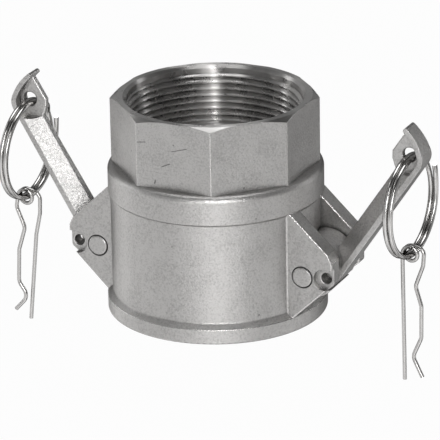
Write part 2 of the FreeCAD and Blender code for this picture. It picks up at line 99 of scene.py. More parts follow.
def bumps(tree, height, strength, distance, below):
    """Relief of the given height on top of another normal."""
    node = add_node(tree, "ShaderNodeBump", {}, {
        "Height": height, "Strength": strength, "Distance": distance, "Normal": below})
    return node.outputs["Normal"]


def blend_colours(tree, part, first, second):
    """The first colour where the part is 0, the second where it is 1."""
    node = add_node(tree, "ShaderNodeMix", {"data_type": "RGBA"}, {0: part, 6: first, 7: second})
    return node.outputs[2]


def rgba(tone, factor=1.0):
    return tuple(min(1.0, part * factor) for part in tone) + (1.0,)


def painted_crease_shade(tree, reach, darkest):
    """Painted shade from ambient occlusion: 1 in the open, less near a crease or inner corner."""
    hollow = add_node(tree, "ShaderNodeAmbientOcclusion", {"samples": 8, "only_local": False}, {
        "Distance": reach})
    return spread(tree, hollow.outputs["AO"], darkest, 1.0, 0.45, 0.8)


def rounded(tree, radius):
    """The surface's normal with its sharp edges softened."""
    return add_node(tree, "ShaderNodeBevel", {"samples": 6}, {"Radius": radius}).outputs[0]


def band(tree, value, middle, half_width, blur):
    """1 where the value is within half_width of the middle, 0 outside the blur."""
    away = maths(tree, "ABSOLUTE", maths(tree, "SUBTRACT", value, middle))
    return spread(tree, away, 1.0, 0.0, half_width, half_width + blur)


pin_x = 38.0 * MM
pin_z = 20.5 * MM
pin_joint_radius = 3.64 * MM
ear_outside = 14.4 * MM


def pin_joint(tree, where):
    """The dark line round each pressed pin, where the ear's hole edge catches no light."""
    part = add_node(tree, "ShaderNodeSeparateXYZ", {}, {0: where}).outputs
    across = maths(tree, "ABSOLUTE", part["X"])
    spot = add_node(tree, "ShaderNodeCombineXYZ", {}, {0: across, 2: part["Z"]}).outputs[0]
    away = vector_maths(tree, "DISTANCE", spot, (pin_x, 0.0, pin_z))
    outside = spread(tree, maths(tree, "ABSOLUTE", part["Y"]), 0.0, 1.0, ear_outside, ear_outside + 0.2 * MM)
    return times(tree, band(tree, away, pin_joint_radius, 0.18 * MM, 0.14 * MM), outside)


def scratch(tree, where, middle, way, half_length, half_width):
    """A short straight handling mark: 1 on it, 0 elsewhere."""
    offset = add_node(tree, "ShaderNodeVectorMath", {"operation": "SUBTRACT"}, {
        0: where, 1: middle}).outputs[0]
    along = vector_maths(tree, "DOT_PRODUCT", offset, way)
    on_line = add_node(tree, "ShaderNodeVectorMath", {"operation": "SCALE"}, {
        0: way, "Scale": along}).outputs[0]
    beside = vector_maths(tree, "DISTANCE", offset, on_line)
    on_length = band(tree, along, 0.0, half_length, 0.4 * MM)
    on_width = band(tree, beside, 0.0, half_width, 0.1 * MM)
    return times(tree, on_length, on_width)


def rare_pits(tree, where):
    """Small gas pits left by the casting: 0 in one cell in eight, near its middle, and 1 elsewhere."""
    cells = add_node(tree, "ShaderNodeTexVoronoi", {}, {"Vector": where, "Scale": 230.0, "Randomness": 1.0})
    outside = spread(tree, cells.outputs["Distance"], 0.0, 1.0, 0.05, 0.11)
    draw = add_node(tree, "ShaderNodeSeparateColor", {}, {0: cells.outputs["Color"]}).outputs[0]
    return maths(tree, "MAXIMUM", outside, maths(tree, "GREATER_THAN", draw, 0.12))


def blasted_steel(name, tone, rough_low, rough_high, grain, marks=()):
    """Cast stainless after blasting: grain, clouding, sparse pits, painted shade in corners, and glossy
    round edges with a painted highlight.
    """
    material, tree, principled = shader(name)
    where = add_node(tree, "ShaderNodeTexCoord").outputs["Object"]
    clouds = noise_on(tree, where, 120.0, 5.0, 0.65)
    speckle = noise_on(tree, where, 1500.0, 3.0, 0.7)
    dimples = noise_on(tree, where, 700.0)
    pits = rare_pits(tree, where)
    edge_gloss_and_highlight = add_node(tree, "ShaderNodeAttribute", {"attribute_name": "round_edge"}).outputs["Fac"]
    wear_and_pin_shade = pin_joint(tree, where)
    for mark in marks:
        wear_and_pin_shade = maths(tree, "MAXIMUM", wear_and_pin_shade, scratch(tree, where, *mark))
    shade = times(tree, spread(tree, speckle, 0.72, 1.2, 0.3, 0.7),
                  spread(tree, clouds, 0.88, 1.08, 0.3, 0.7))
    # Painted shade: the colour is darkened by ambient occlusion near creases and inner corners; the pits are
    # darkened too.
    shade = times(tree, times(tree, shade, painted_crease_shade(tree, 2.2 * MM, 0.6)), spread(tree, pits, 0.5, 1.0))
    # Painted shade on the line round each pin; the handling marks darken the colour as real wear.
    shade = times(tree, shade, spread(tree, wear_and_pin_shade, 1.0, 0.4))
    colour = blend_colours(tree, shade, rgba(tone, 0.0), rgba(tone))
    # Painted highlight: the round edges get a lighter colour; their lower roughness below stands for wear.
    colour = blend_colours(tree, times(tree, edge_gloss_and_highlight, 0.8), colour, rgba(tone, 1.12))
    tree.links.new(colour, principled.inputs["Base Color"])
    principled.inputs["Metallic"].default_value = 1.0
    principled.inputs["Specular Tint"].default_value = (0.3, 0.3, 0.3, 1.0)
    matt = spread(tree, dimples, rough_low, rough_high, 0.3, 0.7)
    gloss = add_node(tree, "ShaderNodeMix", {}, {0: edge_gloss_and_highlight, 2: matt, 3: 0.2})
    tree.links.new(gloss.outputs[0], principled.inputs["Roughness"])
    relief = bumps(tree, speckle, grain, 0.2 * MM, rounded(tree, 0.45 * MM))
    relief = bumps(tree, dimples, grain, 0.12 * MM, relief)
    relief = bumps(tree, pits, 0.8, 0.1 * MM, relief)
    tree.links.new(relief, principled.inputs["Normal"])
    return material


def turned_steel(name, tone, roughness, softening):
    """Turned stainless: fine tool lines round the pipe axis draw each highlight out along the axis."""
    material, tree, principled = shader(name)
    where = add_node(tree, "ShaderNodeTexCoord").outputs["Object"]
    parts = add_node(tree, "ShaderNodeSeparateXYZ", {}, {0: where}).outputs
    lines = add_node(tree, "ShaderNodeTexNoise", {"noise_dimensions": "1D"}, {
        "W": parts["Z"], "Scale": 4000.0, "Detail": 2.0}).outputs["Fac"]
    blotches = noise_on(tree, where, 160.0)
    # Painted shade: the colour is darkened by ambient occlusion in the thread's roots and inner corners.
    shade = times(tree, spread(tree, blotches, 0.8, 1.1, 0.3, 0.7), painted_crease_shade(tree, 1.2 * MM, 0.85))
    tree.links.new(blend_colours(tree, shade, rgba(tone, 0.0), rgba(tone)), principled.inputs["Base Color"])
    principled.inputs["Metallic"].default_value = 1.0
    principled.inputs["Anisotropic"].default_value = 1.0
    principled.inputs["Anisotropic Rotation"].default_value = 0.25
    way = add_node(tree, "ShaderNodeTangent", {"direction_type": "RADIAL", "axis": "Z"})
    tree.links.new(way.outputs[0], principled.inputs["Tangent"])
    tree.links.new(spread(tree, blotches, roughness * 0.8, roughness * 1.3, 0.3, 0.7),
                   principled.inputs["Roughness"])
    relief = bumps(tree, lines, 0.15, 0.03 * MM, rounded(tree, softening))
    tree.links.new(relief, principled.inputs["Normal"])
    return material


weld = 2e-7
same_way = 0.999
shortest_step = 2e-5
round_from = 0.25
round_to = 0.75


def finished_copy(node, name):
    """A merged copy of a CAD node with its true surface normals, its small rounds marked for the shader.

    Corners closer than weld become one. An edge stays smooth where the normals on its two sides agree
    to same_way. A face's mark rises from 0 to 1 as its curvature, in 1/mm, goes from round_from to
    round_to; a side under shortest_step is too short to tell it.
    """
    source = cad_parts[node].data
    mesh = source.copy()
    mesh.name = name
    normals = [corner.vector.copy() for corner in source.corner_normals]
    work = bmesh.new()
    work.from_mesh(mesh)
    true_normal = work.loops.layers.float_vector.new("true_normal")
    for loop, normal in zip((loop for face in work.faces for loop in face.loops), normals):
        loop[true_normal] = normal
    bmesh.ops.remove_doubles(work, verts=work.verts, dist=weld)
    for edge in work.edges:
        edge.smooth = True
        if len(edge.link_loops) == 2:
            one, other = edge.link_loops
            near = one[true_normal].dot(other.link_loop_next[true_normal])
            far = one.link_loop_next[true_normal].dot(other[true_normal])
            edge.smooth = min(near, far) > same_way
    round_edge = work.faces.layers.float.new("round_edge")
    for face in work.faces:
        bend = 0.0
        for loop in face.loops:
            step = loop.link_loop_next.vert.co - loop.vert.co
            turn = loop.link_loop_next[true_normal] - loop[true_normal]
            if step.length > shortest_step:
                bend = max(bend, turn.dot(step) / step.length_squared)
        face[round_edge] = min(1.0, max(0.0, (bend * MM - round_from) / (round_to - round_from)))
    work.to_mesh(mesh)
    work.free()
    mesh.materials.clear()
    normals = [item.vector.copy() for item in mesh.attributes["true_normal"].data]
    mesh.normals_split_custom_set(normals)
    mesh.attributes.remove(mesh.attributes["true_normal"])
    piece = bpy.data.objects.new(name, mesh)
    scene.collection.objects.link(piece)
    return piece


def fit(piece, material, body, slot, *nodes):
    """Give a finished piece its material and its body, and hide the CAD nodes it stands for; the slot is not
    used.
    """
    if not piece.data.materials:
        piece.data.materials.append(material)
    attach(piece, body)
    if nodes:
        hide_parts(*nodes)


octagon_flat_y = -32.61


def mark(x, z, slope, half_length, half_width):
    """A handling mark on the octagon's flat beside its front corner, from sizes in millimetres."""
    way = Vector((1.0, 0.0, slope)).normalized()
    return Vector((x, octagon_flat_y, z)) * MM, way, half_length * MM, half_width * MM


octagon_marks = (mark(-11.6, 67.6, 0.14, 1.4, 0.1), mark(2.2, 66.5, 0.3, 2.8, 0.1),
                 mark(-2.8, 60.6, 0.46, 1.5, 0.13), mark(-6.85, 54.2, 3.0, 0.5, 0.22))
casting_steel = blasted_steel("casting_steel", (0.585, 0.575, 0.565), 0.34, 0.46, 0.7, octagon_marks)
rim_steel = turned_steel("rim_steel", (0.58, 0.57, 0.56), 0.3, 0.3 * MM)
casting = finished_copy("coupler_body", "coupler_casting")
casting.data.materials.append(casting_steel)
casting.data.materials.append(rim_steel)
bore_limit = 31.2 * MM
bore_foot = 52.3 * MM
rim_foot = 70.0 * MM
for face in casting.data.polygons:
    inside = math.hypot(face.center.x, face.center.y) < bore_limit and face.center.z > bore_foot
    on_top = face.center.z > rim_foot and face.normal.z > 0.3
    face.material_index = 1 if inside or on_top else 0
fit(casting, casting_steel, "body", "casting", "coupler_body")


# Pipe thread: parallel 2 inch pipe thread, 11 turns to the inch, cut right-handed into the bore
# inside the octagon. A short plain stretch stays above it, and its first turn is bevelled there.

thread_top = 72.6 * MM
thread_foot = 53.0 * MM
thread_pitch = 2.309 * MM
thread_depth = 1.45 * MM
thread_root = 29.75 * MM
thread_turns = 9.3
mouth_slope = 1.43


def new_tree(name, inputs):
    """Geometry node tree with named inputs; each is (name, socket type, default)."""
    tree = bpy.data.node_groups.new(name, "GeometryNodeTree")
    tree.interface.new_socket("Geometry", in_out="INPUT", socket_type="NodeSocketGeometry")
    for label, kind, default in inputs:
        socket = tree.interface.new_socket(label, in_out="INPUT", socket_type=kind)
        if default is not None:
            socket.default_value = default
    tree.interface.new_socket("Geometry", in_out="OUTPUT", socket_type="NodeSocketGeometry")
    return tree, tree.nodes.new("NodeGroupInput"), tree.nodes.new("NodeGroupOutput")


def made_by(tree, values, name, mesh=None):
    """Run a geometry node tree on a mesh and keep the result as a plain mesh object."""
    carrier = bpy.data.objects.new(name + "_carrier", mesh or bpy.data.meshes.new(name + "_start"))
    scene.collection.objects.link(carrier)
    modifier = carrier.modifiers.new("build", "NODES")
    modifier.node_group = tree
    for item in tree.interface.items_tree:
        if item.in_out == "INPUT" and item.name in values:
            modifier[item.identifier] = values[item.name]
    graph = bpy.context.evaluated_depsgraph_get()
    result = bpy.data.meshes.new_from_object(carrier.evaluated_get(graph))
    result.name = name
    bpy.data.objects.remove(carrier)
    piece = bpy.data.objects.new(name, result)
    scene.collection.objects.link(piece)
    return piece


def thread_tree():
    """One closed ridge wound up a helix: a grid is bent round the pipe and shaped to the thread's form."""
    tree, source, sink = new_tree("helical_thread", [
        ("Root Radius", "NodeSocketFloat", thread_root), ("Mouth Radius", "NodeSocketFloat", thread_root),
        ("Foot Height", "NodeSocketFloat", thread_foot), ("Top Height", "NodeSocketFloat", thread_top),
        ("Pitch", "NodeSocketFloat", thread_pitch), ("Depth", "NodeSocketFloat", thread_depth),
        ("Turns", "NodeSocketFloat", thread_turns), ("Start Angle", "NodeSocketFloat", 0.0),
        ("Crest Rounding", "NodeSocketFloat", 0.2), ("Mouth Slope", "NodeSocketFloat", mouth_slope),
        ("Steps", "NodeSocketInt", 2000), ("Form Steps", "NodeSocketInt", 18),
        ("Material", "NodeSocketMaterial", None)])
    value = source.outputs
    grid = add_node(tree, "GeometryNodeMeshGrid", {}, {
        "Size X": 1.0, "Size Y": 1.0, "Vertices X": value["Steps"], "Vertices Y": value["Form Steps"]})
    position = add_node(tree, "GeometryNodeInputPosition").outputs[0]
    place = add_node(tree, "ShaderNodeSeparateXYZ", {}, {0: position})
    along = maths(tree, "ADD", place.outputs["X"], 0.5)
    turned = times(tree, along, value["Turns"])
    angle = maths(tree, "MULTIPLY_ADD", turned, 2 * math.pi, value["Start Angle"])
    rows = maths(tree, "SUBTRACT", value["Form Steps"], 1.0)
    row = maths(tree, "ROUND", times(tree, maths(tree, "ADD", place.outputs["Y"], 0.5), rows))
    last = maths(tree, "SUBTRACT", rows, 1.0)
    closing = maths(tree, "GREATER_THAN", row, maths(tree, "ADD", last, 0.5))
    side = maths(tree, "SUBTRACT", times(tree, maths(tree, "DIVIDE", row, last), 2.0), 1.0)
    side = maths(tree, "SUBTRACT", side, times(tree, closing, maths(tree, "ADD", side, 1.0)))
    blunt = value["Crest Rounding"]
    reach = maths(tree, "SQRT", maths(tree, "MULTIPLY_ADD", blunt, blunt, 1.0))
    slope = maths(tree, "SQRT", maths(tree, "MULTIPLY_ADD", side, side, times(tree, blunt, blunt)))
    form = maths(tree, "DIVIDE", maths(tree, "SUBTRACT", reach, slope),
                 maths(tree, "SUBTRACT", reach, blunt))
    run_in = maths(tree, "MINIMUM", turned, 1.0)
    ridge = times(tree, times(tree, form, value["Depth"]), run_in)
    height = maths(tree, "MULTIPLY_ADD", turned, value["Pitch"], value["Foot Height"])
    half = times(tree, times(tree, value["Pitch"], 0.5), run_in)
    height = maths(tree, "MULTIPLY_ADD", side, half, height)
    height = maths(tree, "MINIMUM", height, value["Top Height"])
    radius = maths(tree, "SUBTRACT", value["Root Radius"], ridge)
    below = maths(tree, "SUBTRACT", value["Top Height"], height)
    bevel = maths(tree, "SUBTRACT", value["Mouth Radius"], times(tree, below, value["Mouth Slope"]))
    radius = maths(tree, "MAXIMUM", radius, bevel)
    spot = add_node(tree, "ShaderNodeCombineXYZ", {}, {
        0: times(tree, radius, maths(tree, "COSINE", angle)),
        1: times(tree, radius, maths(tree, "SINE", angle)),
        2: height})
    shaped = add_node(tree, "GeometryNodeSetPosition", {}, {
        "Geometry": grid.outputs["Mesh"], "Position": spot.outputs[0]})
    welded = add_node(tree, "GeometryNodeMergeByDistance", {}, {
        "Geometry": shaped.outputs[0], "Distance": 0.001 * MM})
    real = add_node(tree, "GeometryNodeRealizeInstances", {}, {0: welded.outputs[0]})
    painted = add_node(tree, "GeometryNodeSetMaterial", {}, {
        "Geometry": real.outputs[0], "Material": value["Material"]})
    tree.links.new(painted.outputs[0], sink.inputs[0])
    return tree


def outward(piece):
    """Turn every face of a closed mesh outwards."""
    work = bmesh.new()
    work.from_mesh(piece.data)
    bmesh.ops.recalc_face_normals(work, faces=work.faces)
    work.to_mesh(piece.data)
    work.free()


thread_steel = turned_steel("thread_steel", (0.60, 0.59, 0.58), 0.27, 0.6 * MM)
thread = made_by(thread_tree(), {"Material": thread_steel}, "pipe_thread")
outward(thread)
thread.data.shade_smooth()
thread.data.set_sharp_from_angle(angle=math.radians(35))
fit(thread, thread_steel, "body", "casting")


# Gasket: a moulded black rubber ring with rounded edges. It is pushed into the groove above the
# socket, where it seals against the end of the pipe fitting that the levers draw in.

rubber, tree, principled = shader("gasket_rubber")
where = add_node(tree, "ShaderNodeTexCoord").outputs["Object"]
speckle = noise_on(tree, where, 900.0)
colour = blend_colours(tree, speckle, (0.018, 0.018, 0.018, 1.0), (0.034, 0.034, 0.033, 1.0))
tree.links.new(colour, principled.inputs["Base Color"])
tree.links.new(spread(tree, speckle, 0.55, 0.75), principled.inputs["Roughness"])
bump = add_node(tree, "ShaderNodeBump", {}, {"Height": speckle, "Strength": 0.3, "Distance": 0.06 * MM})
tree.links.new(bump.outputs["Normal"], principled.inputs["Normal"])
gasket = finished_copy("gasket", "gasket_ring")
fit(gasket, rubber, "body", "gasket", "gasket")


# Pivot pins: stainless pins pressed through the ears, with bevelled ends almost flush, blasted
# together with the casting.

pin_steel = blasted_steel("pin_steel", (0.62, 0.61, 0.60), 0.30, 0.40, 0.3)
for side in ("right", "left"):
    pin = finished_copy(side + "_pivot_pin", side + "_pin")
    fit(pin, pin_steel, "body", "pivot_pin", side + "_pivot_pin")


# Cam levers: investment castings with a flanged handle, a bored head under a curled hood and a round
# hub that turns on the pin.

lever_steel = blasted_steel("lever_steel", (0.64, 0.63, 0.62), 0.32, 0.44, 0.9)
for side in ("right", "left"):
    lever = finished_copy(side + "_cam_lever", side + "_lever")
    fit(lever, lever_steel, side + "_lever", "lever", side + "_cam_lever")


# Split rings: round stainless wire coiled twice into a flat ring, crossing from one turn to the next
# behind the lever's hood, with its outer end sprung off a little. They hang in the levers' heads.


def wire_steel(name, tone, low, high):
    """Drawn stainless wire: fine die lines along it and faint uneven gloss, on its own coordinates."""
    material, tree, principled = shader(name)
    where = add_node(tree, "ShaderNodeAttribute", {"attribute_name": "wire"}).outputs["Vector"]
    lines = add_node(tree, "ShaderNodeMapping", {}, {"Vector": where, "Scale": (3.0, 3.0, 60.0)})
    drawn = noise_on(tree, lines.outputs["Vector"], 4.0, 4.0)
    spots = add_node(tree, "ShaderNodeMapping", {}, {"Vector": where, "Scale": (1.0, 1.0, 400.0)})
    stains = noise_on(tree, spots.outputs["Vector"], 1.0, 3.0)
    colour = blend_colours(tree, spread(tree, stains, 0.0, 1.0, 0.35, 0.65), rgba(tone, 0.88), rgba(tone))
    tree.links.new(colour, principled.inputs["Base Color"])
    principled.inputs["Metallic"].default_value = 1.0
    principled.inputs["Specular Tint"].default_value = (0.0, 0.0, 0.0, 1.0)
    tree.links.new(spread(tree, stains, low, high, 0.3, 0.7), principled.inputs["Roughness"])
    bump = add_node(tree, "ShaderNodeBump", {}, {"Height": drawn, "Strength": 0.1, "Distance": 0.02 * MM})
    tree.links.new(bump.outputs["Normal"], principled.inputs["Normal"])
    return material


def kept_on(tree, geometry, name, value, kind="FLOAT"):
    """The geometry with a value kept on its points under a name."""
    node = add_node(tree, "GeometryNodeStoreNamedAttribute", {"data_type": kind, "domain": "POINT"}, {
        "Geometry": geometry, "Name": name, "Value": value})
    return node.outputs[0]


def kept(tree, name):
    """The number that is kept on the points under a name."""
    node = add_node(tree, "GeometryNodeInputNamedAttribute", {"data_type": "FLOAT"}, {"Name": name})
    return node.outputs[0]


def wire_tail(tree, path, wire_radius, sides, material, sink):
    """Last part of a wire tree: round wire along a path, ends bevelled, its coordinates kept."""
    curve = add_node(tree, "GeometryNodeMeshToCurve", {}, {0: path})
    run = add_node(tree, "GeometryNodeSplineParameter")
    to_end = maths(tree, "SUBTRACT", 1.0, run.outputs["Factor"])
    from_end = maths(tree, "MINIMUM", run.outputs["Factor"], to_end)
    full = spread(tree, from_end, 0.8, 1.0, 0.0, 1e-5)
    tapered = add_node(tree, "GeometryNodeSetCurveRadius", {}, {0: curve.outputs[0], 2: full})
    along = kept_on(tree, tapered.outputs[0], "along", run.outputs["Length"])
    circle = add_node(tree, "GeometryNodeCurvePrimitiveCircle", {}, {
        "Resolution": sides, "Radius": wire_radius})
    turn = add_node(tree, "GeometryNodeSplineParameter")
    around = kept_on(tree, circle.outputs[0], "around", times(tree, turn.outputs["Factor"], 2 * math.pi))
    tube = add_node(tree, "GeometryNodeCurveToMesh", {}, {
        "Curve": along, "Profile Curve": around, "Fill Caps": True})
    angle = kept(tree, "around")
    place = add_node(tree, "ShaderNodeCombineXYZ", {}, {
        0: maths(tree, "COSINE", angle), 1: maths(tree, "SINE", angle), 2: kept(tree, "along")})
    marked = kept_on(tree, tube.outputs[0], "wire", place.outputs[0], "FLOAT_VECTOR")
    real = add_node(tree, "GeometryNodeRealizeInstances", {}, {0: marked})
    painted = add_node(tree, "GeometryNodeSetMaterial", {}, {
        "Geometry": real.outputs[0], "Material": material})
    tree.links.new(painted.outputs[0], sink.inputs[0])


def smooth_ramp(tree, value, start, end, low, high):
    """Low before the start, high after the end, and a smooth step between them."""
    node = add_node(tree, "ShaderNodeMapRange", {"interpolation_type": "SMOOTHSTEP"}, {
        "Value": value, "From Min": start, "From Max": end, "To Min": low, "To Max": high})
    return node.outputs["Result"]


def ring_tree():
    """Two turns of wire that cross over at the split, moved and turned into the lever's hole."""
    tree, source, sink = new_tree("split_ring_wire", [
        ("Mean Radius", "NodeSocketFloat", 17.075 * MM), ("Wire Radius", "NodeSocketFloat", 0.875 * MM),
        ("Layer", "NodeSocketFloat", 0.9 * MM), ("Split Angle", "NodeSocketFloat", math.radians(38.0)),
        ("Half Joggle", "NodeSocketFloat", math.radians(12.0)),
        ("End Gap", "NodeSocketFloat", math.radians(2.0)),
        ("Splay", "NodeSocketFloat", 1.2 * MM), ("Splay Angle", "NodeSocketFloat", math.radians(40.0)),
        ("Drop", "NodeSocketFloat", 1.1049 * MM), ("Turn", "NodeSocketVector", (0.0, 0.0, 0.0)),
        ("Tilt", "NodeSocketVector", (0.0, 0.0, 0.0)), ("Hole", "NodeSocketVector", (0.0, 0.0, 0.0)),
        ("Steps", "NodeSocketInt", 600), ("Sides", "NodeSocketInt", 20),
        ("Material", "NodeSocketMaterial", None)])
    value = source.outputs
    line = add_node(tree, "GeometryNodeMeshLine", {}, {"Count": value["Steps"]})
    index = add_node(tree, "GeometryNodeInputIndex").outputs[0]
    part = maths(tree, "DIVIDE", index, maths(tree, "SUBTRACT", value["Steps"], 1.0))
    margin = maths(tree, "ADD", value["Half Joggle"], value["End Gap"])
    sweep = maths(tree, "SUBTRACT", 4 * math.pi, times(tree, margin, 2.0))
    from_start = times(tree, part, sweep)
    angle = maths(tree, "ADD", maths(tree, "ADD", from_start, margin), value["Split Angle"])
    middle = maths(tree, "SUBTRACT", 2 * math.pi, margin)
    crossing = smooth_ramp(tree, maths(tree, "SUBTRACT", from_start, middle),
                           times(tree, value["Half Joggle"], -1.0), value["Half Joggle"], 1.0, -1.0)
    loose = maths(tree, "SUBTRACT", 1.0, maths(tree, "DIVIDE", from_start, value["Splay Angle"]))
    loose = maths(tree, "MAXIMUM", loose, 0.0)
    loose = times(tree, times(tree, loose, loose), value["Splay"])
    drop = times(tree, value["Mean Radius"], maths(tree, "SUBTRACT", maths(tree, "COSINE", angle), 1.0))
    spot = add_node(tree, "ShaderNodeCombineXYZ", {}, {
        0: maths(tree, "ADD", times(tree, crossing, value["Layer"]), loose),
        1: times(tree, value["Mean Radius"], maths(tree, "SINE", angle)),
        2: maths(tree, "SUBTRACT", drop, value["Drop"])})
    shaped = add_node(tree, "GeometryNodeSetPosition", {}, {
        "Geometry": line.outputs[0], "Position": spot.outputs[0]})
    turned = add_node(tree, "GeometryNodeTransform", {}, {
        "Geometry": shaped.outputs[0], "Rotation": value["Turn"]})
    hung = add_node(tree, "GeometryNodeTransform", {}, {
        "Geometry": turned.outputs[0], "Translation": value["Hole"], "Rotation": value["Tilt"]})
    wire_tail(tree, hung.outputs[0], value["Wire Radius"], value["Sides"], value["Material"], sink)
    return tree


ring_steel = wire_steel("ring_wire_steel", (0.64, 0.63, 0.62), 0.06, 0.12)
rings = ring_tree()
for side, split, turn, lean, sway, hole in (
        ("right", 38.0, 4.2, 0.0, 0.0, (70.8888, 0.0, 63.8482)),
        ("left", 44.0, 2.5, 2.5, 6.5, (-69.5883, 0.0, 64.8048))):
    ring = made_by(rings, {
        "Split Angle": math.radians(split), "Turn": (0.0, 0.0, math.radians(-turn)),
        "Tilt": (math.radians(-sway), math.radians(lean), 0.0), "Hole": [part * MM for part in hole],
        "Material": ring_steel}, side + "_ring")
    outward(ring)
    ring.data.shade_smooth()
    ring.data.set_sharp_from_angle(angle=math.radians(40))
    fit(ring, ring_steel, side + "_ring", "ring_wire", side + "_split_ring")


# Retaining clips: bright spring wire, coiled once round the split ring, one leg straight and one leg
# waved; in use the straight leg goes through the ear's hole and locks the lever.


def clip_tree():
    """Round wire along the clip's own centre line, which its mesh carries in."""
    tree, source, sink = new_tree("retaining_clip_wire", [
        ("Wire Radius", "NodeSocketFloat", 0.675 * MM), ("Sides", "NodeSocketInt", 18),
        ("Material", "NodeSocketMaterial", None)])
    value = source.outputs
    wire_tail(tree, value["Geometry"], value["Wire Radius"], value["Sides"], value["Material"], sink)
    return tree


arc_steps = 8
coil_steps = 60
corner_share = 0.45
straight = 1e-3


def rounded_leg(points, bend):
    """Points along a leg in the XZ plane, each corner rounded by an arc of the bend's radius or less.

    A corner takes up at most corner_share of the shorter side beside it.
    """
    run = [points[0]]
    for before, corner, after in zip(points, points[1:], points[2:]):
        back = before - corner
        forth = after - corner
        half_turn = (math.pi - back.angle(forth)) / 2
        setback = min(bend * math.tan(half_turn), corner_share * min(back.length, forth.length))
        enter = corner + back.normalized() * setback
        leave = corner + forth.normalized() * setback
        centre_way = (back.normalized() + forth.normalized()).normalized()
        centre = corner
        if half_turn > straight:
            centre = corner + centre_way * (setback / math.tan(half_turn) / math.cos(half_turn))
        start = enter - centre
        stop = leave - centre
        for step in range(arc_steps + 1):
            run.append(centre + start.slerp(stop, step / arc_steps) * start.length)
    run.append(points[-1])
    return run


def clip_path(side_leg, top_leg, coil_radius, pitch, turns, bend):
    """The clip's centre line about its coil: up the side leg, round the coil, down the other leg."""
    foot = -turns * pitch / 2
    head = turns * pitch / 2

    def on_coil(part):
        angle = math.pi - part * turns * 2 * math.pi
        depth = foot + part * (head - foot)
        return Vector((coil_radius * math.cos(angle), depth, coil_radius * math.sin(angle)))

    first = rounded_leg([on_coil(0)] + [Vector((x, foot, z)) for x, z in side_leg], bend)
    last = rounded_leg([on_coil(1)] + [Vector((x, head, z)) for x, z in top_leg], bend)
    coil = [on_coil(step / coil_steps) for step in range(1, coil_steps)]
    return first[::-1] + coil + last


coil_radius = 2.57
coil_pitch = 1.45
coil_turns = 1.25
leg_bend = 3.5
clip_steel = wire_steel("clip_wire_steel", (0.60, 0.59, 0.58), 0.08, 0.15)
clips = clip_tree()
for side, turn, centre, side_leg, top_leg in (
        ("right", 4.2, (70.8888, 0.0, 28.5934), [(-1.6, -45.4)],
         [(4.6, 1.8), (4.2, -4.0), (1.4, -11.8), (3.6, -18.6), (3.6, -30.2), (0.5, -37.4), (4.1, -44.3)]),
        ("left", 2.5, (-71.1162, -3.9910, 29.8100),
         [(-3.4, -4.0), (-0.3, -11.4), (-3.0, -20.0), (-3.6, -32.2), (0.0, -37.2), (-5.1, -42.8)],
         [(5.2, 1.4), (4.9, -6.0), (3.1, -14.0), (-0.3, -46.2)])):
    turned = Matrix.Rotation(math.radians(-turn), 4, "Z")
    line = clip_path(side_leg, top_leg, coil_radius, coil_pitch, coil_turns, leg_bend)
    points = [(turned @ spot + Vector(centre)) * MM for spot in line]
    path = bpy.data.meshes.new(side + "_clip_path")
    path.from_pydata(points, [(step, step + 1) for step in range(len(points) - 1)], [])
    clip = made_by(clips, {"Material": clip_steel}, side + "_clip", path)
    outward(clip)
    clip.data.shade_smooth()
    clip.data.set_sharp_from_angle(angle=math.radians(40))
    fit(clip, clip_steel, side + "_clip", "clip_wire", side + "_retaining_clip")


# Studio: a pale floor below the clips and a white tent with a dark top. Narrow lamps draw the bright
# lines on the metal and dark flags stand between them. The camera sees plain white in their place.

floor_height = -100 * MM
floor_reach = 6.0
mesh = bpy.data.meshes.new("studio_floor")
corners = [(-1, -1), (1, -1), (1, 1), (-1, 1)]
mesh.from_pydata([(x * floor_reach, y * floor_reach, floor_height) for x, y in corners], [], [(0, 1, 2, 3)])
floor = bpy.data.objects.new("studio_floor", mesh)
scene.collection.objects.link(floor)
material, tree, principled = shader("floor_card")
principled.inputs["Base Color"].default_value = (0.8, 0.8, 0.8, 1.0)
principled.inputs["Roughness"].default_value = 0.9
light_path = add_node(tree, "ShaderNodeLightPath").outputs
glow = add_node(tree, "ShaderNodeEmission", {}, {"Color": (1.0, 1.0, 1.0, 1.0), "Strength": 1.0})
clear = add_node(tree, "ShaderNodeBsdfTransparent")
seen = times(tree, light_path["Is Camera Ray"], 0.96)
card = add_node(tree, "ShaderNodeMixShader", {}, {0: seen, 1: principled.outputs[0], 2: glow.outputs[0]})
surface = add_node(tree, "ShaderNodeMixShader", {}, {
    0: light_path["Is Glossy Ray"], 1: card.outputs[0], 2: clear.outputs[0]})
tree.links.new(surface.outputs[0], tree.nodes["Material Output"].inputs["Surface"])
mesh.materials.append(material)

world = bpy.data.worlds.new("studio_world")
scene.world = world
world.use_nodes = True
tree = world.node_tree
background = tree.nodes["Background"]
background.inputs["Color"].default_value = (1.0, 1.0, 1.0, 1.0)
direction = add_node(tree, "ShaderNodeTexCoord").outputs["Generated"]

# Places in the tent are unit directions: the height, how far towards the camera's side, and how far
# aside to the photograph's right.
height = add_node(tree, "ShaderNodeSeparateXYZ", {}, {0: direction}).outputs["Z"]
towards = vector_maths(tree, "DOT_PRODUCT", direction, (0.4280, -0.9038, 0.0))
aside = vector_maths(tree, "DOT_PRODUCT", direction, (0.9038, 0.4280, 0.0))


def strip(tree, place, offset, half_width, blur, strength):
    """A straight strip across the tent, at an offset of the given place, soft at its edges."""
    distance = maths(tree, "ABSOLUTE", maths(tree, "SUBTRACT", place, offset))
    return smooth_ramp(tree, distance, half_width, half_width + blur, strength, 0.0)


def limited(tree, lamp, *limits):
    """A lamp multiplied by smooth ramps, each (place, start, end, low, high)."""
    for limit in limits:
        lamp = times(tree, lamp, smooth_ramp(tree, *limit))
    return lamp


def round_card(tree, middle, inner, outer, low, high):
    """A soft round card about a direction, low outside it and high on it."""
    return smooth_ramp(tree, vector_maths(tree, "DOT_PRODUCT", direction, middle), inner, outer, low, high)


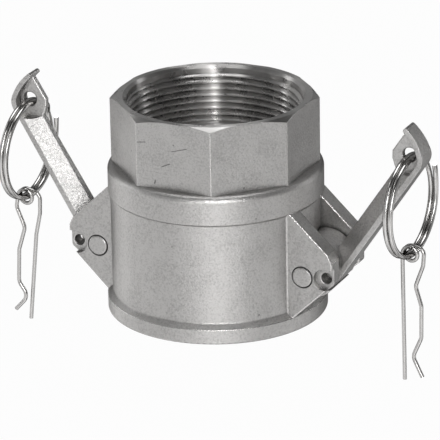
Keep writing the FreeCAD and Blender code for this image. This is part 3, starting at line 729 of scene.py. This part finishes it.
left_card = smooth_ramp(tree, height, -0.40, 0.10, 1.05, 0.42)
right_card = smooth_ramp(tree, height, -0.40, 0.10, 1.02, 0.24)
tent = add_node(tree, "ShaderNodeMix", {}, {
    0: smooth_ramp(tree, aside, -0.5, 0.7, 0.0, 1.0), 2: left_card, 3: right_card})
front = limited(tree, smooth_ramp(tree, towards, 0.55, 1.0, 0.0, 0.2), (height, -0.2, 0.1, 0.0, 1.0))
light = maths(tree, "ADD", tent.outputs[0], front)
light = times(tree, light, round_card(tree, (0.417, 0.905, -0.087), 0.80, 0.97, 1.0, 0.5))
door = limited(tree, smooth_ramp(tree, towards, -0.75, -0.55, 0.35, 0.0), (height, -0.02, 0.12, 1.0, 0.0))
light = times(tree, light, maths(tree, "SUBTRACT", 1.0, door))
light = times(tree, light, smooth_ramp(tree, height, 0.50, 0.85, 1.0, 0.2))

flags = maths(tree, "ADD", strip(tree, aside, 0.22, 0.05, 0.04, 0.6),
              strip(tree, aside, -0.22, 0.05, 0.04, 0.6))
flags = maths(tree, "ADD", flags, strip(tree, towards, -0.15, 0.06, 0.04, 0.4))
low_flags = maths(tree, "ADD", strip(tree, aside, 0.62, 0.06, 0.03, 0.8),
                  strip(tree, aside, -0.73, 0.06, 0.03, 0.6))
low_flags = limited(tree, low_flags, (height, 0.0, 0.1, 1.0, 0.0))
flags = maths(tree, "ADD", maths(tree, "MINIMUM", flags, 0.6), low_flags)
light = times(tree, light, maths(tree, "SUBTRACT", 1.0, maths(tree, "MINIMUM", flags, 0.8)))

arch = limited(tree, strip(tree, aside, 0.0, 0.02, 0.02, 12.0), (height, -0.1, 0.05, 0.0, 1.0),
               (height, 0.68, 0.78, 1.0, 0.0), (towards, 0.2, 0.4, 0.0, 1.0))
low_arch = limited(tree, strip(tree, aside, 0.0, 0.09, 0.05, 1.05), (height, -0.1, 0.05, 1.0, 0.0),
                   (towards, 0.2, 0.5, 0.0, 1.0))
crown_lamp = limited(tree, strip(tree, aside, 0.0, 0.28, 0.08, 3.0), (height, 0.90, 0.94, 0.0, 1.0),
                     (towards, 0.10, 0.20, 1.0, 0.0))
side_strips = limited(tree, strip(tree, towards, -0.36, 0.035, 0.03, 4.5), (height, -0.25, 0.0, 0.15, 1.0),
                      (aside, -0.5, 0.5, 0.8, 0.6), (height, 0.45, 0.65, 1.0, 0.0))
front_panel = round_card(tree, (0.5000, -0.8210, 0.2756), 0.965, 0.988, 0.0, 3.2)
back_card = round_card(tree, (-0.8770, 0.3230, -0.3560), 0.970, 0.990, 0.0, 1.6)
for lamp in (arch, low_arch, crown_lamp, front_panel, side_strips, back_card):
    light = maths(tree, "ADD", light, lamp)
light_path = add_node(tree, "ShaderNodeLightPath").outputs
strength = add_node(tree, "ShaderNodeMix", {}, {0: light_path["Is Camera Ray"], 2: light, 3: 1.0})
tree.links.new(strength.outputs[0], background.inputs["Strength"])


# Camera: a long lens, a little to the right of the front and about twenty degrees above. The scale is
# in pixels of the picture to the millimetre at the part, the shifts are in pixels and the distance is
# in millimetres.

picture_width = 440
scale = 2.952
shift_aside = 3.6
shift_up = -19.24
distance = 1200
turn = math.radians(25.34)
rise = math.radians(20.96)
roll = math.radians(1.08)
across = Vector((math.cos(turn), math.sin(turn), 0))
upward = Vector((-math.sin(turn) * math.sin(rise), math.cos(turn) * math.sin(rise), math.cos(rise)))
back = Vector((math.sin(turn) * math.cos(rise), -math.cos(turn) * math.cos(rise), math.sin(rise)))
right = across * math.cos(roll) - upward * math.sin(roll)
top = across * math.sin(roll) + upward * math.cos(roll)
lens = bpy.data.cameras.new("camera")
lens.sensor_width = 36
lens.lens = scale * distance * lens.sensor_width / picture_width
lens.shift_x = shift_aside / picture_width
lens.shift_y = shift_up / picture_width
lens.clip_start = 0.05
lens.clip_end = 30
camera = bpy.data.objects.new("camera", lens)
scene.collection.objects.link(camera)
middle = Vector((0, 0, 37 * MM))
place = middle + back * (distance * MM)
camera.matrix_world = Matrix((
    (right.x, top.x, back.x, place.x),
    (right.y, top.y, back.y, place.y),
    (right.z, top.z, back.z, place.z),
    (0, 0, 0, 1)))
scene.camera = camera
